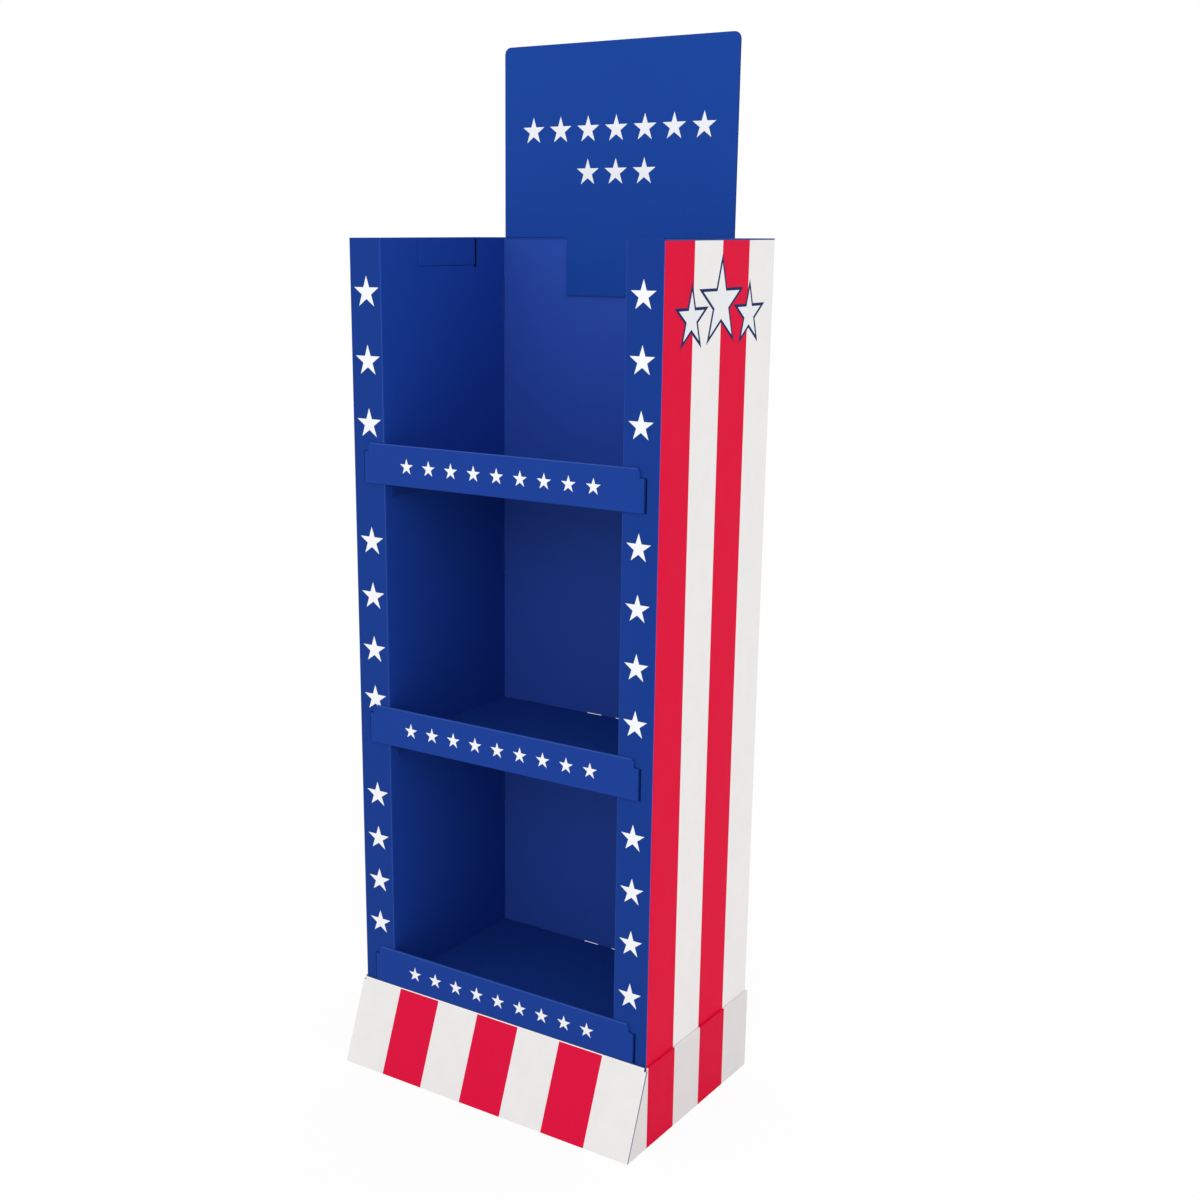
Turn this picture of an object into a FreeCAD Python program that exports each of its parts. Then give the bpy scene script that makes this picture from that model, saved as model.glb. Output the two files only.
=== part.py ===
import FreeCAD, Part
import math
import os

# Free-standing shop display of corrugated board, flat-packed, no fixings: a
# hollow-sided body stands in a plinth with a sloping kick panel, three folded
# shelf trays hook into it, and a header card hangs on its back panel.
# Millimetres. +Z up, front towards -Y, origin on the floor under the middle
# of the outline.

# Board
board = 3.0              # thickness of the corrugated board
fold_round = 2.0         # outside radius of a crease
slip = 0.5               # clearance where one folded sheet slides in another
slot_play = 0.5          # clearance of a tab in its slot, all round

# Body
body_width = 600.0
body_depth = 348.0
body_top = 1468.0
column_width = 66.0      # hollow side columns, seen from the front

# Tuck flap that holds each column's lid down
tuck_front = 97.0        # from the front of the body to the flap's front end
tuck_length = 160.0
tuck_drop = 43.0
tuck_gap = 0.8           # cut line in front of and under the flap
tuck_rear_gap = 7.0      # open cut behind the flap
tuck_relief = 5.0        # radius of the relief hole at the end of that cut

# Joints between the inner walls and the back panel
seam_tab_height = 80.0
seam_tab_above_lip = 252.0   # from a lip's foot to the foot of the tab over it
seam_slot_extra = 1.5        # wider side of the slot, towards the bay
seam_end_play = 0.15         # over and under the tab

# Shelves
shelf_pitch = 459.0
shelf_count = 3
lip_rise = 1.0           # from the plinth's rim to the foot of the lowest lip
lip_height = 68.0
lip_half = 266.0         # half length of the lip's upper edge
lip_corner = 5.0         # slanted corner at each end of it
floor_lift = 4.0         # from the lip's foot to the underside of the floor
flange_drop = 30.0       # turned-down edges of the floor
flange_inset = 12.0      # their ends, from the corners of the floor
hook_half = 274.5        # half length over the hook tabs
hook_height = 53.0
hook_reach = 22.0        # hook tab, from the front of the body into the column
hook_slot_extra = 3.5    # wider side of the slot, outboard of the tab
rear_tab_width = 30.0
rear_tab_spacing = 165.0
rear_hand_slot = 94.0    # length of the middle slot in the back panel
rear_hand_rise = 0.5     # its open height above the shelf floor
rear_notch = 6.0         # relief under each rear tab in the turned-down edge

# Plinth
plinth_height = 148.0
kick_reach = 61.0        # toe of the kick panel, from the front of the body
nest = 40.0              # depth to which the body drops into the plinth
corner_relief = 5.0      # relief notch where kick panel and side meet the rim

# Ribs under the lowest shelf
rib_spacing = 120.0      # cross ribs, from the middle
rib_end_step = 12.0      # step that clears the turned-down edges of the floor
lap_play = 0.4           # clearance in the halved joints

# Header card
header_half = 229.0
header_top = 1785.0
header_corner = 12.0
tongue_half = 98.0       # middle tongue, in front of the back panel
tongue_drop = 98.0
header_tab_place = 165.0 # folded tabs over the back panel's top edge, from the middle
header_tab_width = 40.0
header_tab_drop = 60.0   # down the rear of the back panel

vec = FreeCAD.Vector

# Places that follow from the sizes
half = body_width / 2
plinth_half = half + slip + board
plinth_back = body_depth + slip + board
front = (kick_reach - plinth_back) / 2           # front face of the body
back = front + body_depth                        # rear face of the body
wall_in = half - column_width                    # bay side of the inner walls
back_in = back - board                           # bay side of the back panel
seat = plinth_height - nest                      # foot of the body
mid_y = front + body_depth / 2
lip_feet = [plinth_height + lip_rise + n * shelf_pitch for n in range(shelf_count)]
shelf_half = wall_in - slip
shelf_back = back_in - slip
shelf_names = ["shelf_bottom", "shelf_middle", "shelf_top"]


def block(x0, x1, y0, y1, z0, z1):
    return Part.makeBox(x1 - x0, y1 - y0, z1 - z0, vec(x0, y0, z0))


def sheet_x(points, x0, x1):
    """Flat outline in Y and Z, given thickness from x0 to x1."""
    wire = Part.makePolygon([vec(x0, y, z) for y, z in points + points[:1]])
    return Part.Face(wire).extrude(vec(x1 - x0, 0, 0))


def sheet_y(points, y0, y1):
    """Flat outline in X and Z, given thickness from y0 to y1."""
    wire = Part.makePolygon([vec(x, y0, z) for x, z in points + points[:1]])
    return Part.Face(wire).extrude(vec(0, y1 - y0, 0))


def fused(shapes):
    return shapes[0].fuse(shapes[1:]).removeSplitter()


def edges_along(shape, direction, places):
    """Straight edges along a direction through any of the given points."""
    found = []
    for edge in shape.Edges:
        ends = edge.Vertexes
        if len(ends) != 2:
            continue
        run = ends[1].Point - ends[0].Point
        if run.cross(direction).Length > 1e-6 * run.Length:
            continue
        for place in places:
            offset = (place - ends[0].Point).cross(direction)
            if offset.Length < 1e-4:
                found.append(edge)
                break
    return found


def floor_under(foot):
    return foot + floor_lift


def floor_top(foot):
    return floor_under(foot) + board


def body_wrap():
    """One blank: back panel, sides, front strips, inner walls and lids."""
    shape = block(-half, half, front, back, seat, body_top)
    bay = block(-wall_in, wall_in, front - board, back_in, seat - board, body_top + board)
    shape = shape.cut(bay)
    corners = [vec(sx * x, y, 0) for sx in (-1, 1)
               for x, y in ((half, front), (half, back), (wall_in, front))]
    shape = shape.makeFillet(fold_round, edges_along(shape, vec(0, 0, 1), corners))
    cuts = []
    for sx in (-1, 1):
        hollow = sorted((sx * (wall_in + board), sx * (half - board)))
        cuts.append(block(*hollow, front + board, back_in, seat - board, body_top - board))
        cuts.append(tuck_notch(sx))
        for foot in lip_feet:
            cuts.append(hook_slot(sx, foot))
            cuts.append(seam_slot(sx, foot))
    for foot in lip_feet:
        cuts += rear_slots(foot)
    shape = shape.cut(cuts)
    tabs = [tuck_flap(sx) for sx in (-1, 1)]
    tabs += [seam_tab(sx, foot) for sx in (-1, 1) for foot in lip_feet]
    return fused([shape] + tabs)


def tuck_notch(sx):
    wall = sorted((sx * wall_in, sx * (wall_in + board)))
    y0 = front + tuck_front - tuck_gap
    y1 = front + tuck_front + tuck_length + tuck_rear_gap
    lower = body_top - board - tuck_drop
    notch = block(*wall, y0, y1, lower - tuck_gap, body_top - board)
    hole = Part.makeCylinder(tuck_relief, board,
                             vec(wall[0], y1 - tuck_relief, lower), vec(1, 0, 0))
    return notch.fuse(hole)


def tuck_flap(sx):
    wall = sorted((sx * wall_in, sx * (wall_in + board)))
    y0 = front + tuck_front
    return block(*wall, y0, y0 + tuck_length, body_top - board - tuck_drop, body_top - board)


def hook_slot(sx, foot):
    xs = sorted((sx * (hook_half - board - slot_play), sx * (hook_half + hook_slot_extra)))
    return block(*xs, front, front + board, foot - slot_play, foot + hook_height + slot_play)


def seam_slot(sx, foot):
    xs = sorted((sx * (wall_in - seam_slot_extra), sx * (wall_in + board + slot_play)))
    z0 = foot + seam_tab_above_lip
    return block(*xs, back_in, back, z0 - seam_end_play,
                 z0 + seam_tab_height + seam_end_play)


def seam_tab(sx, foot):
    xs = sorted((sx * wall_in, sx * (wall_in + board)))
    z0 = foot + seam_tab_above_lip
    return block(*xs, back_in, back, z0, z0 + seam_tab_height)


def rear_tab_places():
    return (-rear_tab_spacing, 0.0, rear_tab_spacing)


def rear_slots(foot):
    slots = []
    for x in rear_tab_places():
        long_half = rear_tab_width / 2 + slot_play
        rise = slot_play
        if x == 0.0:
            long_half = max(rear_hand_slot / 2, long_half)
            rise = rear_hand_rise
        slots.append(block(x - long_half, x + long_half, back_in, back,
                           floor_under(foot) - slot_play, floor_top(foot) + rise))
    return slots


def shelf(foot):
    """One blank: floor with turned-down edges, rolled lip, hook and rear tabs."""
    top = foot + lip_height
    hook_top = foot + hook_height
    lip_end = [(hook_half, foot), (hook_half, hook_top), (lip_half, hook_top),
               (lip_half, top - lip_corner), (lip_half - lip_corner, top)]
    lip_outline = lip_end + [(-x, z) for x, z in reversed(lip_end)]
    lip = sheet_y(lip_outline, front - board, front)
    inner_lip = block(-shelf_half, shelf_half, front, front + board, floor_under(foot), top)
    lip = fused([lip, inner_lip])
    roll = edges_along(lip, vec(1, 0, 0), [vec(0, front - board, top), vec(0, front + board, top)])
    lip = lip.makeFillet(fold_round, roll)
    low = floor_top(foot) - flange_drop
    pieces = [lip, block(-shelf_half, shelf_half, front, shelf_back,
                         floor_under(foot), floor_top(foot))]
    for sx in (-1, 1):
        xs = sorted((sx * (shelf_half - board), sx * shelf_half))
        pieces.append(block(*xs, front + board + flange_inset, shelf_back - flange_inset,
                            low, floor_top(foot)))
        hook = sorted((sx * (hook_half - board), sx * hook_half))
        hook = block(*hook, front - board, front + hook_reach, foot, hook_top)
        pieces.append(hook)
    rear = block(-shelf_half + flange_inset, shelf_half - flange_inset,
                 shelf_back - board, shelf_back, low, floor_top(foot))
    for x in rear_tab_places():
        notch_half = rear_tab_width / 2 + slot_play
        rear = rear.cut(block(x - notch_half, x + notch_half, shelf_back - board, shelf_back,
                              floor_under(foot) - rear_notch, floor_under(foot)))
        pieces.append(block(x - rear_tab_width / 2, x + rear_tab_width / 2,
                            shelf_back - board, back - slot_play,
                            floor_under(foot), floor_top(foot)))
    pieces.append(rear)
    return fused(pieces)


def kick_lines():
    """Front and rear face of the kick panel: Y at the floor and at the rim."""
    lean = math.atan((kick_reach - slip - board) / plinth_height)
    across = board / math.cos(lean)
    toe = front - kick_reach
    rim = front - slip - across
    return toe, rim, across


def base_plinth():
    """One blank: kick panel, sides and back, hemmed inwards at the floor."""
    toe, rim, across = kick_lines()
    y_back = front + plinth_back
    side_outline = [(toe, 0), (rim, plinth_height), (y_back, plinth_height), (y_back, 0)]
    shape = sheet_x(side_outline, -plinth_half, plinth_half)
    inner_half = half + slip
    inside = [(toe + across, 0), (rim + across, plinth_height),
              (back + slip, plinth_height), (back + slip, 0)]
    edges = edges_along(shape, vec(0, rim - toe, plinth_height),
                        [vec(sx * plinth_half, toe, 0) for sx in (-1, 1)])
    edges += edges_along(shape, vec(0, 0, 1), [vec(sx * plinth_half, y_back, 0) for sx in (-1, 1)])
    shape = shape.makeFillet(fold_round, edges)
    shape = shape.cut(sheet_x(inside, -inner_half, inner_half))
    hems = [block(-inner_half, inner_half, toe + across, front + board, 0, board)]
    hems.append(block(-inner_half, inner_half, front, front + board, 0, seat))
    hems.append(block(-inner_half, inner_half, back + slip - board, back + slip, 0, seat))
    for sx in (-1, 1):
        xs = sorted((sx * (inner_half - board), sx * inner_half))
        hems.append(block(*xs, front, back + slip, 0, seat))
    shape = fused([shape] + hems)
    for sx in (-1, 1):
        xs = sorted((sx * (plinth_half - corner_relief), sx * plinth_half))
        shape = shape.cut(block(*xs, rim - board, front - slip,
                                plinth_height - corner_relief, plinth_height))
    return shape


def rib_lap():
    return (seat + floor_under(lip_feet[0])) / 4


def base_rib_long():
    """Rib across the width: carries the columns and the lowest shelf."""
    end = half + slip - board - slip
    rise = shelf_half - board - rib_end_step / 2
    top = floor_under(lip_feet[0])
    outline = [(-end, 0), (end, 0), (end, seat), (rise, seat), (rise, top),
               (-rise, top), (-rise, seat), (-end, seat)]
    rib = sheet_y(outline, mid_y - board / 2, mid_y + board / 2)
    for sx in (-1, 1):
        reach = board / 2 + lap_play / 2
        rib = rib.cut(block(sx * rib_spacing - reach, sx * rib_spacing + reach,
                            mid_y - board, mid_y + board, rib_lap(), top))
    return rib


def base_rib_cross(sx):
    """Rib from front to back, halved over the long rib."""
    y0 = front + board + slip
    y1 = back + slip - board - slip
    top = floor_under(lip_feet[0])
    outline = [(y0, 0), (y1, 0), (y1, seat), (y1 - rib_end_step, seat),
               (y1 - rib_end_step, top), (y0, top)]
    x = sx * rib_spacing
    rib = sheet_x(outline, x - board / 2, x + board / 2)
    reach = board / 2 + lap_play / 2
    return rib.cut(block(x - board, x + board, mid_y - reach, mid_y + reach, 0, rib_lap()))


def header_card():
    """Flat card: middle tongue in front, two tabs folded back over the panel's edge."""
    face = back_in - board
    card = block(-header_half, header_half, face, back_in, body_top, header_top)
    rounds = edges_along(card, vec(0, 1, 0),
                         [vec(sx * header_half, 0, header_top) for sx in (-1, 1)])
    card = card.makeFillet(header_corner, rounds)
    pieces = [card, block(-tongue_half, tongue_half, face, back_in,
                          body_top - tongue_drop, body_top)]
    for sx in (-1, 1):
        xs = sorted((sx * header_tab_place - header_tab_width / 2,
                     sx * header_tab_place + header_tab_width / 2))
        tab = block(*xs, back_in, back + board, body_top, body_top + board)
        tab = tab.fuse(block(*xs, back, back + board, body_top - header_tab_drop, body_top + board))
        tab = tab.removeSplitter()
        fold = edges_along(tab, vec(1, 0, 0), [vec(0, back + board, body_top + board)])
        pieces.append(tab.makeFillet(fold_round, fold))
    return fused(pieces)


def nodes():
    found = {"body_wrap": body_wrap(), "base_plinth": base_plinth(),
             "base_rib_long": base_rib_long(), "base_rib_left": base_rib_cross(-1),
             "base_rib_right": base_rib_cross(1), "header_card": header_card()}
    for name, foot in zip(shelf_names, lip_feet):
        found[name] = shelf(foot)
    return found


os.makedirs("parts", exist_ok=True)
for name, shape in nodes().items():
    solids = shape.Solids
    print(name, len(solids), "solid(s), valid", shape.isValid(), round(shape.Volume / 1e3, 1), "cm3")
    result = solids[0] if len(solids) == 1 else Part.makeCompound(solids)
    result.exportStep("parts/" + name + ".step")
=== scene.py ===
import math

import bmesh
import bpy
from mathutils import Matrix, Vector


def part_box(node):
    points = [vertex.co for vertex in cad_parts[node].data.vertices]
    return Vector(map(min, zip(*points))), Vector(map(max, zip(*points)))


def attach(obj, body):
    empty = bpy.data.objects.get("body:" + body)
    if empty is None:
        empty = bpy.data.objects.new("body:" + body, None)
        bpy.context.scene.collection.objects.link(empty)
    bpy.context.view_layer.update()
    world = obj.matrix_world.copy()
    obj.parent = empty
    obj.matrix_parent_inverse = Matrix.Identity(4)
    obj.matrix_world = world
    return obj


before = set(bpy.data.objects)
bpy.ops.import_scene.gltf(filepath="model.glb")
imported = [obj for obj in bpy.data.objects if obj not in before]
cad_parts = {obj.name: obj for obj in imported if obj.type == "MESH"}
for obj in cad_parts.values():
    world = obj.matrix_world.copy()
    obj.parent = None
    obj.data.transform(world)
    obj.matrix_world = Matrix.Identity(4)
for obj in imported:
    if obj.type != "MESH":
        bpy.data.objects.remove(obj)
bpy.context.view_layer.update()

print("stage: frame loaded", len(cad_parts), "nodes")

mm = 0.001

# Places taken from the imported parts, in metres
bodyLow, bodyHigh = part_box("body_wrap")
plinthLow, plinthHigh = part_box("base_plinth")
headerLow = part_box("header_card")[0]
frontY = bodyLow[1]
backY = bodyHigh[1]
halfWidth = bodyHigh[0]
bodyTop = bodyHigh[2]
plinthTop = plinthHigh[2]

board = {
    "thickness": 3.0,         # mm, single-wall board
    "flutePitch": 6.5,        # mm, B flute
    "liner": 0.35,            # mm, drawn a little thicker than paper so that it shows
    "medium": 0.30,           # mm, half the wave's drawn line
    "washboard": 0.035,       # mm, how far the flutes print through the liner
    "fibre": 0.9,             # mm, paper fibre clumps
    "fibreDepth": 0.02,       # mm
    "warpSize": 240.0,        # mm, slow waviness of a large panel
    "warpDepth": 0.4,         # mm
    "columnWidth": 66.0,      # mm
}
thick = board["thickness"] * mm
wallX = halfWidth - board["columnWidth"] * mm


# sRGB hex to the linear colour that a shader wants
def toLinear(hexColour):
    parts = [int(hexColour[i:i + 2], 16) / 255 for i in (0, 2, 4)]
    return [p / 12.92 if p <= 0.04045 else ((p + 0.055) / 1.055) ** 2.4 for p in parts] + [1.0]


def addNode(tree, kind, links=None, **settings):
    node = tree.nodes.new(kind)
    for key, value in settings.items():
        setattr(node, key, value)
    for key, value in (links or {}).items():
        if isinstance(value, bpy.types.NodeSocket):
            tree.links.new(value, node.inputs[key])
        else:
            node.inputs[key].default_value = value
    return node


inks = {
    "blue": "143786",
    "headerBlue": "174196",
    "wallPaintedLightBlue": "2A4BA6",     # bay side of the back panel, a lighter blue as painted light
    "innerPaintedLightBlue": "1C42A0",    # bay side of the inner walls, a lighter blue as painted light
    "shelfBlue": "183B8E",
    "kickWhite": "E3E1E0",
    "hairline": "5C6B86",
    "kickRed": "D4103C",
    "red": "DE0A3A",
    "white": "EDEBEA",
    # painted shade: the plinth's white and red are darker copies of the body's, for the lesser
    # light on the plinth side
    "plinthShadedWhite": "E0DDDD",
    "plinthShadedRed": "D8083A",
    "star": "E9EBEE",
    "navy": "16295E",
    "highlightBlue": "4A66AE",   # painted highlight along the folds, a lighter blue
    "kraft": "A88460",
    # painted shade in the flute hollows of cut edges
    "kraftFluteShade": "4A3826",
}


# where each surface point lies and which way it faces, as the print sees it
def surfacePlaces(tree):
    coord = addNode(tree, "ShaderNodeTexCoord")
    place = addNode(tree, "ShaderNodeSeparateXYZ", {0: coord.outputs["Object"]})
    facing = addNode(tree, "ShaderNodeSeparateXYZ", {0: coord.outputs["Normal"]})
    absX = addNode(tree, "ShaderNodeMath", {0: place.outputs[0]}, operation="ABSOLUTE")
    absNx = addNode(tree, "ShaderNodeMath", {0: facing.outputs[0]}, operation="ABSOLUTE")
    return {"vector": coord.outputs["Object"], "x": place.outputs[0], "y": place.outputs[1],
            "z": place.outputs[2], "nx": facing.outputs[0], "ny": facing.outputs[1],
            "nz": facing.outputs[2], "absX": absX.outputs[0], "absNx": absNx.outputs[0]}


# bands of two inks in turn, each of one width
def inkBands(tree, along, start, width, first, second):
    run = addNode(tree, "ShaderNodeMath", {0: along, 1: start}, operation="SUBTRACT")
    count = addNode(tree, "ShaderNodeMath", {0: run.outputs[0], 1: width}, operation="DIVIDE")
    whole = addNode(tree, "ShaderNodeMath", {0: count.outputs[0]}, operation="FLOOR")
    odd = addNode(tree, "ShaderNodeMath", {0: whole.outputs[0], 1: 2.0},
                  operation="FLOORED_MODULO")
    mix = addNode(tree, "ShaderNodeMix", {0: odd.outputs[0], 6: first, 7: second},
                  data_type="RGBA")
    return mix.outputs[2]


# 1 on a crease and 0 a few millimetres from it, the mask of a painted highlight along the fold; a
# fold is two coordinates and their values
def foldHighlight(tree, place, folds, reach):
    total = None
    for axisA, valueA, axisB, valueB in folds:
        offA = addNode(tree, "ShaderNodeMath", {0: place[axisA], 1: valueA}, operation="SUBTRACT")
        offB = addNode(tree, "ShaderNodeMath", {0: place[axisB], 1: valueB}, operation="SUBTRACT")
        farA = addNode(tree, "ShaderNodeMath", {0: offA.outputs[0]}, operation="ABSOLUTE")
        farB = addNode(tree, "ShaderNodeMath", {0: offB.outputs[0]}, operation="ABSOLUTE")
        far = addNode(tree, "ShaderNodeMath", {0: farA.outputs[0], 1: farB.outputs[0]},
                      operation="MAXIMUM")
        near = addNode(tree, "ShaderNodeMapRange", {0: far.outputs[0], 1: reach * 0.35, 2: reach,
                                                    3: 1.0, 4: 0.0})
        if total is None:
            total = near.outputs[0]
        else:
            total = addNode(tree, "ShaderNodeMath", {0: total, 1: near.outputs[0]},
                            operation="MAXIMUM").outputs[0]
    return total


# the cut edge of the board: two liners with the wavy medium between them, and the hollows between
# them painted dark as shade
def cutEdge(tree, across, along, paper, shade):
    turn = addNode(tree, "ShaderNodeMath",
                   {0: along, 1: 2 * math.pi / (board["flutePitch"] * mm)}, operation="MULTIPLY")
    wave = addNode(tree, "ShaderNodeMath", {0: turn.outputs[0]}, operation="SINE")
    swing = addNode(tree, "ShaderNodeMath",
                    {0: wave.outputs[0], 1: thick / 2 - board["liner"] * mm}, operation="MULTIPLY")
    off = addNode(tree, "ShaderNodeMath", {0: across, 1: swing.outputs[0]}, operation="SUBTRACT")
    offAbs = addNode(tree, "ShaderNodeMath", {0: off.outputs[0]}, operation="ABSOLUTE")
    onMedium = addNode(tree, "ShaderNodeMath", {0: offAbs.outputs[0], 1: board["medium"] * mm},
                       operation="LESS_THAN")
    side = addNode(tree, "ShaderNodeMath", {0: across}, operation="ABSOLUTE")
    onLiner = addNode(tree, "ShaderNodeMath",
                      {0: side.outputs[0], 1: thick / 2 - board["liner"] * mm},
                      operation="GREATER_THAN")
    isPaper = addNode(tree, "ShaderNodeMath", {0: onMedium.outputs[0], 1: onLiner.outputs[0]},
                      operation="MAXIMUM")
    mix = addNode(tree, "ShaderNodeMix",
                  {0: isPaper.outputs[0], 6: toLinear(shade), 7: toLinear(paper)},
                  data_type="RGBA")
    return mix.outputs[2]


# height in mm: flutes printing through, paper fibre and the slow warp of the panel
def boardRelief(tree, place):
    sideways = addNode(tree, "ShaderNodeMath", {0: place["absNx"], 1: 0.5},
                       operation="GREATER_THAN")
    across = addNode(tree, "ShaderNodeMix",
                     {0: sideways.outputs[0], 2: place["x"], 3: place["y"]}, data_type="FLOAT")
    turn = addNode(tree, "ShaderNodeMath",
                   {0: across.outputs[0], 1: 2 * math.pi / (board["flutePitch"] * mm)},
                   operation="MULTIPLY")
    flutes = addNode(tree, "ShaderNodeMath", {0: turn.outputs[0]}, operation="SINE")
    fluteHeight = addNode(tree, "ShaderNodeMath",
                          {0: flutes.outputs[0], 1: board["washboard"] / 2}, operation="MULTIPLY")
    fibre = addNode(tree, "ShaderNodeTexNoise",
                    {"Vector": place["vector"], "Scale": 1 / (board["fibre"] * mm), "Detail": 3.0})
    warp = addNode(tree, "ShaderNodeTexNoise",
                   {"Vector": place["vector"], "Scale": 1 / (board["warpSize"] * mm),
                    "Detail": 1.0})
    fibreHeight = addNode(tree, "ShaderNodeMath",
                          {0: fibre.outputs[0], 1: board["fibreDepth"], 2: fluteHeight.outputs[0]},
                          operation="MULTIPLY_ADD")
    height = addNode(tree, "ShaderNodeMath",
                     {0: warp.outputs[0], 1: board["warpDepth"], 2: fibreHeight.outputs[0]},
                     operation="MULTIPLY_ADD")
    bump = addNode(tree, "ShaderNodeBump", {"Height": height.outputs[0], "Distance": mm})
    return bump.outputs[0], fibre.outputs[0]


# offset-printed corrugated board with a matt water varnish: little sheen, flutes just visible
def printedBoard(name, paint, roughness=0.6):
    material = bpy.data.materials.new(name)
    material.use_nodes = True
    tree = material.node_tree
    tree.nodes.clear()
    place = surfacePlaces(tree)
    colour = paint(tree, place)
    normal, fibre = boardRelief(tree, place)
    mottle = addNode(tree, "ShaderNodeTexNoise",
                     {"Vector": place["vector"], "Scale": 1 / (35 * mm), "Detail": 4.0})
    tone = addNode(tree, "ShaderNodeMapRange", {0: mottle.outputs[0], 1: 0.3, 2: 0.7,
                                                3: 0.985, 4: 1.015})
    grain = addNode(tree, "ShaderNodeMapRange", {0: fibre, 1: 0.3, 2: 0.7, 3: 0.98, 4: 1.02})
    level = addNode(tree, "ShaderNodeMath", {0: tone.outputs[0], 1: grain.outputs[0]},
                    operation="MULTIPLY")
    tinted = addNode(tree, "ShaderNodeVectorMath", {0: colour, "Scale": level.outputs[0]},
                     operation="SCALE")
    gloss = addNode(tree, "ShaderNodeMapRange", {0: mottle.outputs[0], 1: 0.3, 2: 0.7,
                                                 3: roughness - 0.05, 4: roughness + 0.05})
    shader = addNode(tree, "ShaderNodeBsdfPrincipled",
                     {"Base Color": tinted.outputs[0], "Roughness": gloss.outputs[0],
                      "IOR": 1.45, "Specular IOR Level": 0.06, "Normal": normal})
    addNode(tree, "ShaderNodeOutputMaterial", {0: shader.outputs[0]})
    return material


bodyPrint = {
    "sideStripes": 4,
    "lidSliver": 2.2,      # mm of blue over the top of the stripes, where the lid's fold turns
    "highlightReach": 2.2,      # mm
    "highlightShow": 0.35,
}


def paintBody(tree, place):
    bands = inkBands(tree, place["y"], frontY, (backY - frontY) / bodyPrint["sideStripes"],
                     toLinear(inks["red"]), toLinear(inks["white"]))
    # painted highlight: a lighter blue along the front corners, the strips' inner edges and the
    # side's top edge
    highlightMask = foldHighlight(tree, place, [("absX", halfWidth, "y", frontY), ("absX", wallX, "y", frontY),
                                  ("absX", halfWidth, "z", bodyTop)],
                    bodyPrint["highlightReach"] * mm)
    highlightAmount = addNode(tree, "ShaderNodeMath", {0: highlightMask, 1: bodyPrint["highlightShow"]},
                   operation="MULTIPLY")
    blue = addNode(tree, "ShaderNodeMix", {0: highlightAmount.outputs[0], 6: toLinear(inks["blue"]),
                                           7: toLinear(inks["highlightBlue"])}, data_type="RGBA")
    sideways = addNode(tree, "ShaderNodeMath", {0: place["absNx"], 1: 0.71},
                       operation="GREATER_THAN")
    outer = addNode(tree, "ShaderNodeMath", {0: place["absX"], 1: halfWidth - thick / 2},
                    operation="GREATER_THAN")
    under = addNode(tree, "ShaderNodeMath",
                    {0: place["z"], 1: bodyTop - bodyPrint["lidSliver"] * mm},
                    operation="LESS_THAN")
    side = addNode(tree, "ShaderNodeMath", {0: sideways.outputs[0], 1: outer.outputs[0]},
                   operation="MULTIPLY")
    striped = addNode(tree, "ShaderNodeMath", {0: side.outputs[0], 1: under.outputs[0]},
                      operation="MULTIPLY")
    # painted light: the bay sides of the back panel and the inner walls take lighter blues than the
    # outer print, so the shaded bays look brighter
    deep = addNode(tree, "ShaderNodeMath", {0: place["y"], 1: backY - 1.5 * thick},
                   operation="GREATER_THAN")
    ahead = addNode(tree, "ShaderNodeMath", {0: place["ny"], 1: -0.71}, operation="LESS_THAN")
    onWall = addNode(tree, "ShaderNodeMath", {0: deep.outputs[0], 1: ahead.outputs[0]},
                     operation="MULTIPLY")
    inward = addNode(tree, "ShaderNodeMath", {0: place["absX"], 1: wallX + thick / 2},
                     operation="LESS_THAN")
    onInner = addNode(tree, "ShaderNodeMath", {0: sideways.outputs[0], 1: inward.outputs[0]},
                      operation="MULTIPLY")
    inner = addNode(tree, "ShaderNodeMix", {0: onInner.outputs[0], 6: blue.outputs[2],
                                            7: toLinear(inks["innerPaintedLightBlue"])}, data_type="RGBA")
    blues = addNode(tree, "ShaderNodeMix", {0: onWall.outputs[0], 6: inner.outputs[2],
                                            7: toLinear(inks["wallPaintedLightBlue"])}, data_type="RGBA")
    printed = addNode(tree, "ShaderNodeMix", {0: striped.outputs[0], 6: blues.outputs[2],
                                              7: bands}, data_type="RGBA")
    rear = addNode(tree, "ShaderNodeMath", {0: place["ny"], 1: 0.71}, operation="GREATER_THAN")
    rearmost = addNode(tree, "ShaderNodeMath", {0: place["y"], 1: backY - thick / 2},
                       operation="GREATER_THAN")
    bare = addNode(tree, "ShaderNodeMath", {0: rear.outputs[0], 1: rearmost.outputs[0]},
                   operation="MULTIPLY")
    backed = addNode(tree, "ShaderNodeMix", {0: bare.outputs[0], 6: printed.outputs[2],
                                             7: toLinear(inks["white"])}, data_type="RGBA")
    # raw top edge of the back panel, between the columns
    upward = addNode(tree, "ShaderNodeMath", {0: place["nz"], 1: 0.71}, operation="GREATER_THAN")
    between = addNode(tree, "ShaderNodeMath", {0: place["absX"], 1: wallX}, operation="LESS_THAN")
    raw = addNode(tree, "ShaderNodeMath", {0: upward.outputs[0], 1: between.outputs[0]},
                  operation="MULTIPLY")
    across = addNode(tree, "ShaderNodeMath", {0: place["y"], 1: backY - thick / 2},
                     operation="SUBTRACT")
    edge = cutEdge(tree, across.outputs[0], place["x"], inks["white"], inks["kraftFluteShade"])
    return addNode(tree, "ShaderNodeMix", {0: raw.outputs[0], 6: backed.outputs[2], 7: edge},
                   data_type="RGBA").outputs[2]


plinthPrint = {
    "kickStripes": 7,
    "rimLine": 1.6,        # mm of white paper showing along the rim
    "foldLine": 2.5,       # mm from the sharp corner, most of it lost in the fold's round
}


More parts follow.
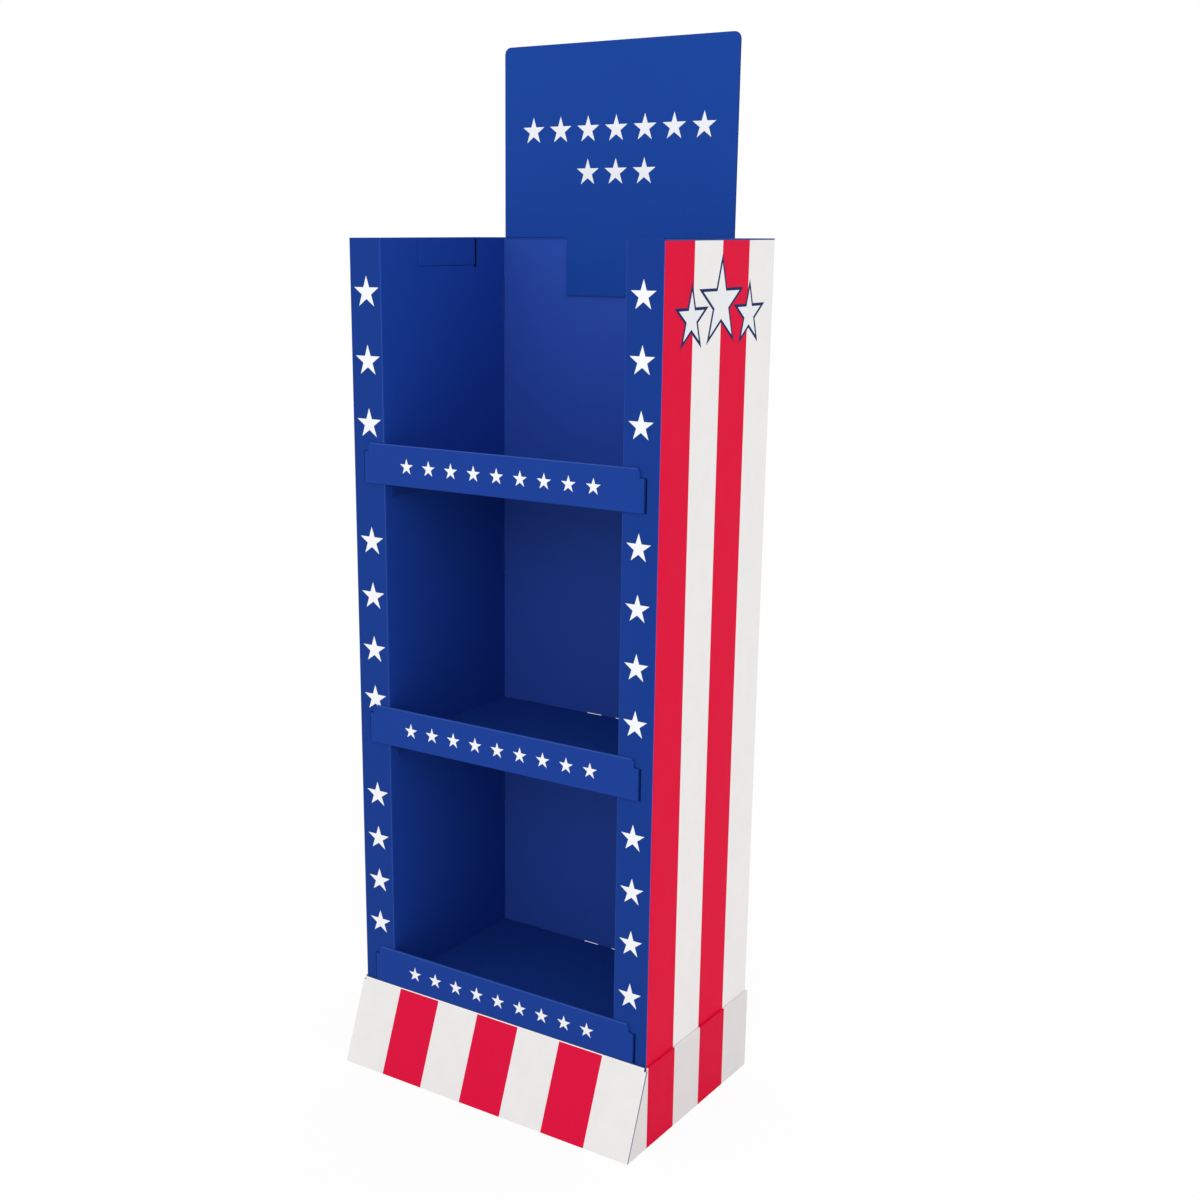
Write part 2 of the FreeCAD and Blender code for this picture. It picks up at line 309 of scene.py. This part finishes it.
def paintPlinth(tree, place):
    width = 2 * plinthHigh[0]
    kick = inkBands(tree, place["x"], plinthLow[0], width / plinthPrint["kickStripes"],
                    toLinear(inks["kickWhite"]), toLinear(inks["kickRed"]))
    # painted shade: the plinth side's stripes in the darker copies of the body's red and white
    side = inkBands(tree, place["y"], frontY, (backY - frontY) / bodyPrint["sideStripes"],
                    toLinear(inks["plinthShadedRed"]), toLinear(inks["plinthShadedWhite"]))
    ahead = addNode(tree, "ShaderNodeMath", {0: place["y"], 1: frontY}, operation="LESS_THAN")
    behind = addNode(tree, "ShaderNodeMath", {0: place["y"], 1: backY}, operation="GREATER_THAN")
    unstriped = addNode(tree, "ShaderNodeMath", {0: ahead.outputs[0], 1: behind.outputs[0]},
                        operation="MAXIMUM")
    sidePlain = addNode(tree, "ShaderNodeMix", {0: unstriped.outputs[0], 6: side,
                                                7: toLinear(inks["plinthShadedWhite"])},
                        data_type="RGBA")
    # printed hairline on the side along the sloping fold
    slope = addNode(tree, "ShaderNodeMapRange", {0: place["z"], 1: 0.0, 2: plinthTop,
                                                 3: plinthLow[1], 4: frontY - thick})
    past = addNode(tree, "ShaderNodeMath", {0: place["y"], 1: slope.outputs[0]},
                   operation="SUBTRACT")
    onLine = addNode(tree, "ShaderNodeMath", {0: past.outputs[0],
                                              1: plinthPrint["foldLine"] * mm},
                     operation="LESS_THAN")
    lined = addNode(tree, "ShaderNodeMix", {0: onLine.outputs[0], 6: sidePlain.outputs[2],
                                            7: toLinear(inks["hairline"])}, data_type="RGBA")
    turned = addNode(tree, "ShaderNodeMath", {0: place["absNx"], 1: place["nz"]},
                     operation="MAXIMUM")
    sideways = addNode(tree, "ShaderNodeMath", {0: turned.outputs[0], 1: 0.71},
                       operation="GREATER_THAN")
    front = addNode(tree, "ShaderNodeMath", {0: place["ny"], 1: -0.5}, operation="LESS_THAN")
    onKick = addNode(tree, "ShaderNodeMix", {0: front.outputs[0],
                                             6: toLinear(inks["plinthShadedWhite"]), 7: kick},
                     data_type="RGBA")
    outside = addNode(tree, "ShaderNodeMix", {0: sideways.outputs[0], 6: onKick.outputs[2],
                                              7: lined.outputs[2]}, data_type="RGBA")
    high = addNode(tree, "ShaderNodeMath",
                   {0: place["z"], 1: plinthTop - plinthPrint["rimLine"] * mm},
                   operation="GREATER_THAN")
    rim = addNode(tree, "ShaderNodeMath", {0: high.outputs[0], 1: front.outputs[0]},
                  operation="MULTIPLY")
    return addNode(tree, "ShaderNodeMix", {0: rim.outputs[0], 6: outside.outputs[2],
                                           7: toLinear(inks["white"])},
                   data_type="RGBA").outputs[2]


shelfPrint = {
    "highlightReach": 2.0,      # mm
    "highlightShow": 0.45,
}


def paintShelf(lipTop):
    def paint(tree, place):
        # painted highlight: a lighter blue along the lip's top fold
        highlightMask = foldHighlight(tree, place, [("y", frontY - thick, "z", lipTop),
                                      ("y", frontY + thick, "z", lipTop)],
                        shelfPrint["highlightReach"] * mm)
        highlightAmount = addNode(tree, "ShaderNodeMath", {0: highlightMask, 1: shelfPrint["highlightShow"]},
                       operation="MULTIPLY")
        blue = addNode(tree, "ShaderNodeMix", {0: highlightAmount.outputs[0], 6: toLinear(inks["shelfBlue"]),
                                               7: toLinear(inks["highlightBlue"])},
                       data_type="RGBA")
        under = addNode(tree, "ShaderNodeMath", {0: place["nz"], 1: -0.71},
                        operation="LESS_THAN")
        within = addNode(tree, "ShaderNodeMath", {0: place["y"], 1: frontY},
                         operation="GREATER_THAN")
        plain = addNode(tree, "ShaderNodeMath", {0: under.outputs[0], 1: within.outputs[0]},
                        operation="MULTIPLY")
        underside = addNode(tree, "ShaderNodeMix", {0: plain.outputs[0], 6: blue.outputs[2],
                                                    7: toLinear(inks["kraft"])},
                            data_type="RGBA")
        across = addNode(tree, "ShaderNodeMath", {0: place["y"], 1: frontY - thick / 2},
                         operation="SUBTRACT")
        edge = cutEdge(tree, across.outputs[0], place["x"], inks["kraft"], inks["kraftFluteShade"])
        ahead = addNode(tree, "ShaderNodeMath", {0: place["y"], 1: frontY},
                        operation="LESS_THAN")
        raw = addNode(tree, "ShaderNodeMath", {0: under.outputs[0], 1: ahead.outputs[0]},
                      operation="MULTIPLY")
        return addNode(tree, "ShaderNodeMix", {0: raw.outputs[0], 6: underside.outputs[2],
                                               7: edge}, data_type="RGBA").outputs[2]
    return paint


def paintHeader(tree, place):
    rear = addNode(tree, "ShaderNodeMath", {0: place["ny"], 1: 0.5}, operation="GREATER_THAN")
    faces = addNode(tree, "ShaderNodeMix", {0: rear.outputs[0],
                                            6: toLinear(inks["headerBlue"]),
                                            7: toLinear(inks["white"])}, data_type="RGBA")
    absNy = addNode(tree, "ShaderNodeMath", {0: place["ny"]}, operation="ABSOLUTE")
    raw = addNode(tree, "ShaderNodeMath", {0: absNy.outputs[0], 1: 0.5}, operation="LESS_THAN")
    across = addNode(tree, "ShaderNodeMath", {0: place["y"], 1: headerLow[1] + thick / 2},
                     operation="SUBTRACT")
    # navy painted as shade in the flute hollows of the header's edge
    edge = cutEdge(tree, across.outputs[0], place["x"], inks["blue"], inks["navy"])
    return addNode(tree, "ShaderNodeMix", {0: raw.outputs[0], 6: faces.outputs[2], 7: edge},
                   data_type="RGBA").outputs[2]


def paintKraft(tree, place):
    return addNode(tree, "ShaderNodeMix", {0: 0.0, 6: toLinear(inks["kraft"]),
                                           7: toLinear(inks["kraftFluteShade"])},
                   data_type="RGBA").outputs[2]


def dress(node, material):
    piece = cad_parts[node]
    piece.data.materials.clear()
    piece.data.materials.append(material)


dress("body_wrap", printedBoard("lithoPrintedBodyBoard", paintBody))
dress("base_plinth", printedBoard("lithoPrintedPlinthBoard", paintPlinth))
dress("header_card", printedBoard("lithoPrintedHeaderBoard", paintHeader))
for shelfName in ("shelf_bottom", "shelf_middle", "shelf_top"):
    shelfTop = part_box(shelfName)[1][2]
    dress(shelfName, printedBoard("lithoPrinted_" + shelfName, paintShelf(shelfTop)))
kraftBoard = printedBoard("brownKraftBoard", paintKraft, roughness=0.85)
for ribName in ("base_rib_long", "base_rib_left", "base_rib_right"):
    dress(ribName, kraftBoard)
print("stage: boards printed")


# opaque screen-printed ink: matt, a little lifted from the board
def inkOf(name, colour):
    def paint(tree, place):
        ink = addNode(tree, "ShaderNodeRGB")
        ink.outputs[0].default_value = toLinear(colour)
        return ink.outputs[0]
    return printedBoard(name, paint, roughness=0.55)


inkThickness = 0.15 * mm


# five-pointed star, point up, centred on its bounding circle
def starOutline(halfHigh, halfWide):
    points = []
    for corner in range(10):
        reach = 1.0 if corner % 2 == 0 else 0.382
        angle = math.pi / 2 + corner * math.pi / 5
        points.append((math.cos(angle) * reach * halfWide, math.sin(angle) * reach * halfHigh))
    return points


# flat printed shapes on one face; an outline's points are (along the face, up)
def inkPiece(name, outlines, origin, along, outward, material, coats=0):
    mesh = bpy.data.meshes.new(name)
    work = bmesh.new()
    for outline in outlines:
        rings = []
        for lift in (coats * inkThickness, (coats + 1) * inkThickness):
            rings.append([work.verts.new(Vector(origin) + Vector(along) * u + Vector((0, 0, w))
                                         + Vector(outward) * lift) for u, w in outline])
        work.faces.new(rings[1])
        work.faces.new(rings[0][::-1])
        for n in range(len(outline)):
            m = (n + 1) % len(outline)
            work.faces.new([rings[0][n], rings[0][m], rings[1][m], rings[1][n]])
    bmesh.ops.recalc_face_normals(work, faces=work.faces)
    work.to_mesh(mesh)
    work.free()
    piece = bpy.data.objects.new(name, mesh)
    bpy.context.scene.collection.objects.link(piece)
    piece.data.materials.append(material)
    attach(piece, "root")
    return piece


def shifted(outline, u, w):
    return [(a + u, b + w) for a, b in outline]


starInk = inkOf("opaqueWhiteInk", inks["star"])

stripStars = {
    "fromMiddle": 265.0,   # mm, on either strip
    "left": {
        "heights": (1381, 1270, 1166, 966, 870, 775, 687, 509, 426, 345, 264),
        "lowest": (24.0, 22.5),     # mm, half width and half height of the bounding ellipse
        "highest": (27.2, 27.0),
    },
    "right": {
        "heights": (1388, 1293, 1197, 1012, 917, 823, 731, 542, 450, 359, 266),
        "lowest": (22.5, 23.8),
        "highest": (23.0, 23.8),
    },
}
for side, sign in (("left", -1), ("right", 1)):
    strip = stripStars[side]
    outlines = []
    for height in strip["heights"]:
        part = (height - min(strip["heights"])) / (max(strip["heights"]) - min(strip["heights"]))
        wide, high = [low + part * (top - low)
                      for low, top in zip(strip["lowest"], strip["highest"])]
        outlines.append(shifted(starOutline(high * mm, wide * mm),
                                sign * stripStars["fromMiddle"] * mm, height * mm))
    inkPiece("strip_stars_" + side, outlines, (0, frontY, 0), (1, 0, 0), (0, -1, 0), starInk)

lipStars = {
    "halfHigh": 14.0,      # mm
    "halfWide": 14.0,      # mm
    "count": 9,
    "spacing": 46.0,       # mm
    "overFoot": 33.0,      # mm from the lip's foot to the stars' centres
    "lipHeight": 68.0,     # mm
}
lipShape = starOutline(lipStars["halfHigh"] * mm, lipStars["halfWide"] * mm)
lipFeet = [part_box("shelf_" + level)[1][2] - lipStars["lipHeight"] * mm
           for level in ("bottom", "middle", "top")]
for level, foot in zip(("bottom", "middle", "top"), lipFeet):
    row = [(n - (lipStars["count"] - 1) / 2) * lipStars["spacing"] * mm
           for n in range(lipStars["count"])]
    inkPiece("lip_stars_" + level,
             [shifted(lipShape, u, foot + lipStars["overFoot"] * mm) for u in row],
             (0, frontY - thick, 0), (1, 0, 0), (0, -1, 0), starInk)

headerStars = {
    "halfHigh": 23.0,      # mm
    "halfWide": 23.0,      # mm
    "spacing": 56.0,       # mm
    "rows": ((7, 1645.0), (3, 1575.0)),   # stars in the row, mm above the floor
}
headerShape = starOutline(headerStars["halfHigh"] * mm, headerStars["halfWide"] * mm)
outlines = []
for count, height in headerStars["rows"]:
    for n in range(count):
        outlines.append(shifted(headerShape, (n - (count - 1) / 2) * headerStars["spacing"] * mm,
                                height * mm))
inkPiece("header_stars", outlines, (0, headerLow[1], 0), (1, 0, 0), (0, -1, 0), starInk)

sideStars = {
    "stars": ((0.0, 1372.0, 60.0), (-92.0, 1352.0, 40.0), (92.0, 1352.0, 40.0)),
    # mm from the middle of the side, mm above the floor, mm half height
    "outline": 7.0,        # mm of navy around each star
}
navyInk = inkOf("opaqueNavyInk", inks["navy"])
middleY = (frontY + backY) / 2
for side, sign in (("left", -1), ("right", 1)):
    plain = []
    edged = []
    for across, height, high in sideStars["stars"]:
        plain.append(shifted(starOutline(high * mm, high * mm), middleY + across * mm, height * mm))
        wider = (high + 2.1 * sideStars["outline"]) * mm
        edged.append(shifted(starOutline(wider, wider), middleY + across * mm, height * mm))
    origin = (sign * halfWidth, 0, 0)
    inkPiece("side_stars_edge_" + side, edged, origin, (0, 1, 0), (sign, 0, 0), navyInk)
    inkPiece("side_stars_" + side, plain, origin, (0, 1, 0), (sign, 0, 0), starInk, coats=1)
print("stage: stars printed")

# Stage
floorLook = {"colour": "F2F2F1", "size": 16.0, "fadeFrom": 1.2, "fadeTo": 3.2}


def paleFloor():
    mesh = bpy.data.meshes.new("floor")
    r = floorLook["size"] / 2
    mesh.from_pydata([(-r, -r, 0), (r, -r, 0), (r, r, 0), (-r, r, 0)], [], [(0, 1, 2, 3)])
    floor = bpy.data.objects.new("floor", mesh)
    bpy.context.scene.collection.objects.link(floor)
    material = bpy.data.materials.new("paleStudioFloor")
    material.use_nodes = True
    tree = material.node_tree
    tree.nodes.clear()
    matt = addNode(tree, "ShaderNodeBsdfDiffuse", {0: toLinear(floorLook["colour"])})
    white = addNode(tree, "ShaderNodeEmission", {0: (1, 1, 1, 1), 1: 1.0})
    coord = addNode(tree, "ShaderNodeTexCoord")
    reach = addNode(tree, "ShaderNodeVectorMath", {0: coord.outputs["Object"]},
                    operation="LENGTH")
    fade = addNode(tree, "ShaderNodeMapRange", {0: reach.outputs["Value"],
                                                1: floorLook["fadeFrom"],
                                                2: floorLook["fadeTo"], 3: 0.93, 4: 1.0},
                   interpolation_type="SMOOTHSTEP")
    ray = addNode(tree, "ShaderNodeLightPath")
    seen = addNode(tree, "ShaderNodeMath", {0: fade.outputs[0],
                                            1: ray.outputs["Is Camera Ray"]},
                   operation="MULTIPLY")
    mix = addNode(tree, "ShaderNodeMixShader", {0: seen.outputs[0], 1: matt.outputs[0],
                                                2: white.outputs[0]})
    addNode(tree, "ShaderNodeOutputMaterial", {0: mix.outputs[0]})
    mesh.materials.append(material)


paleFloor()

lightLook = {"sky": 0.95, "key": 62.0, "keyPlace": (1.2, -4.1, 3.6), "keySize": 3.0}


def studioLight():
    world = bpy.data.worlds.new("studio")
    bpy.context.scene.world = world
    world.use_nodes = True
    tree = world.node_tree
    tree.nodes.clear()
    ray = addNode(tree, "ShaderNodeLightPath")
    shown = addNode(tree, "ShaderNodeMath", {0: ray.outputs["Is Camera Ray"],
                                             1: ray.outputs["Is Transmission Ray"]},
                    operation="MAXIMUM")
    strength = addNode(tree, "ShaderNodeMapRange", {0: shown.outputs[0], 1: 0.0, 2: 1.0,
                                                    3: lightLook["sky"], 4: 1.0})
    sky = addNode(tree, "ShaderNodeBackground", {0: (1, 1, 1, 1), 1: strength.outputs[0]})
    addNode(tree, "ShaderNodeOutputWorld", {0: sky.outputs[0]})
    lamp = bpy.data.lights.new("key", "AREA")
    lamp.energy = lightLook["key"]
    lamp.size = lightLook["keySize"]
    key = bpy.data.objects.new("key", lamp)
    bpy.context.scene.collection.objects.link(key)
    key.location = lightLook["keyPlace"]
    aim = Vector((0, 0, 0.9)) - key.location
    key.rotation_euler = aim.to_track_quat("-Z", "Y").to_euler()


studioLight()

# The photograph's camera, solved from the stand's own edges. Distances are in body widths,
# from the middle of the body's front face on the floor.
view = {
    "place": (2.54792, -3.51204, 2.46883),
    "pitch": -0.2615,
    "roll": 0.00126,
    "yaw": 0.61262,
    "focalPixels": 1635.27,
    "axisPixel": (521.58, 667.14),
    "imagePixels": 1200.0,
    "sensor": 36.0,
}


def photoCamera():
    width = 2 * halfWidth
    pitch, roll, yaw = view["pitch"], view["roll"], view["yaw"]
    ahead = Vector((-math.cos(pitch) * math.sin(yaw), math.cos(pitch) * math.cos(yaw),
                    math.sin(pitch)))
    right = Vector((math.cos(yaw), math.sin(yaw), 0))
    up = right.cross(ahead)
    rolledRight = right * math.cos(roll) + up * math.sin(roll)
    rolledUp = up * math.cos(roll) - right * math.sin(roll)
    data = bpy.data.cameras.new("camera")
    data.sensor_fit = "HORIZONTAL"
    data.sensor_width = view["sensor"]
    data.lens = view["focalPixels"] / view["imagePixels"] * view["sensor"]
    data.shift_x = (view["imagePixels"] / 2 - view["axisPixel"][0]) / view["imagePixels"]
    data.shift_y = (view["axisPixel"][1] - view["imagePixels"] / 2) / view["imagePixels"]
    data.clip_end = 60
    camera = bpy.data.objects.new("camera", data)
    bpy.context.scene.collection.objects.link(camera)
    turn = Matrix((rolledRight, rolledUp, -ahead)).transposed().to_4x4()
    place = Vector(view["place"]) * width + Vector((0, frontY, 0))
    camera.matrix_world = Matrix.Translation(place) @ turn
    bpy.context.scene.camera = camera


photoCamera()
bpy.context.scene.view_settings.view_transform = "Standard"
print("stage: studio and camera set")
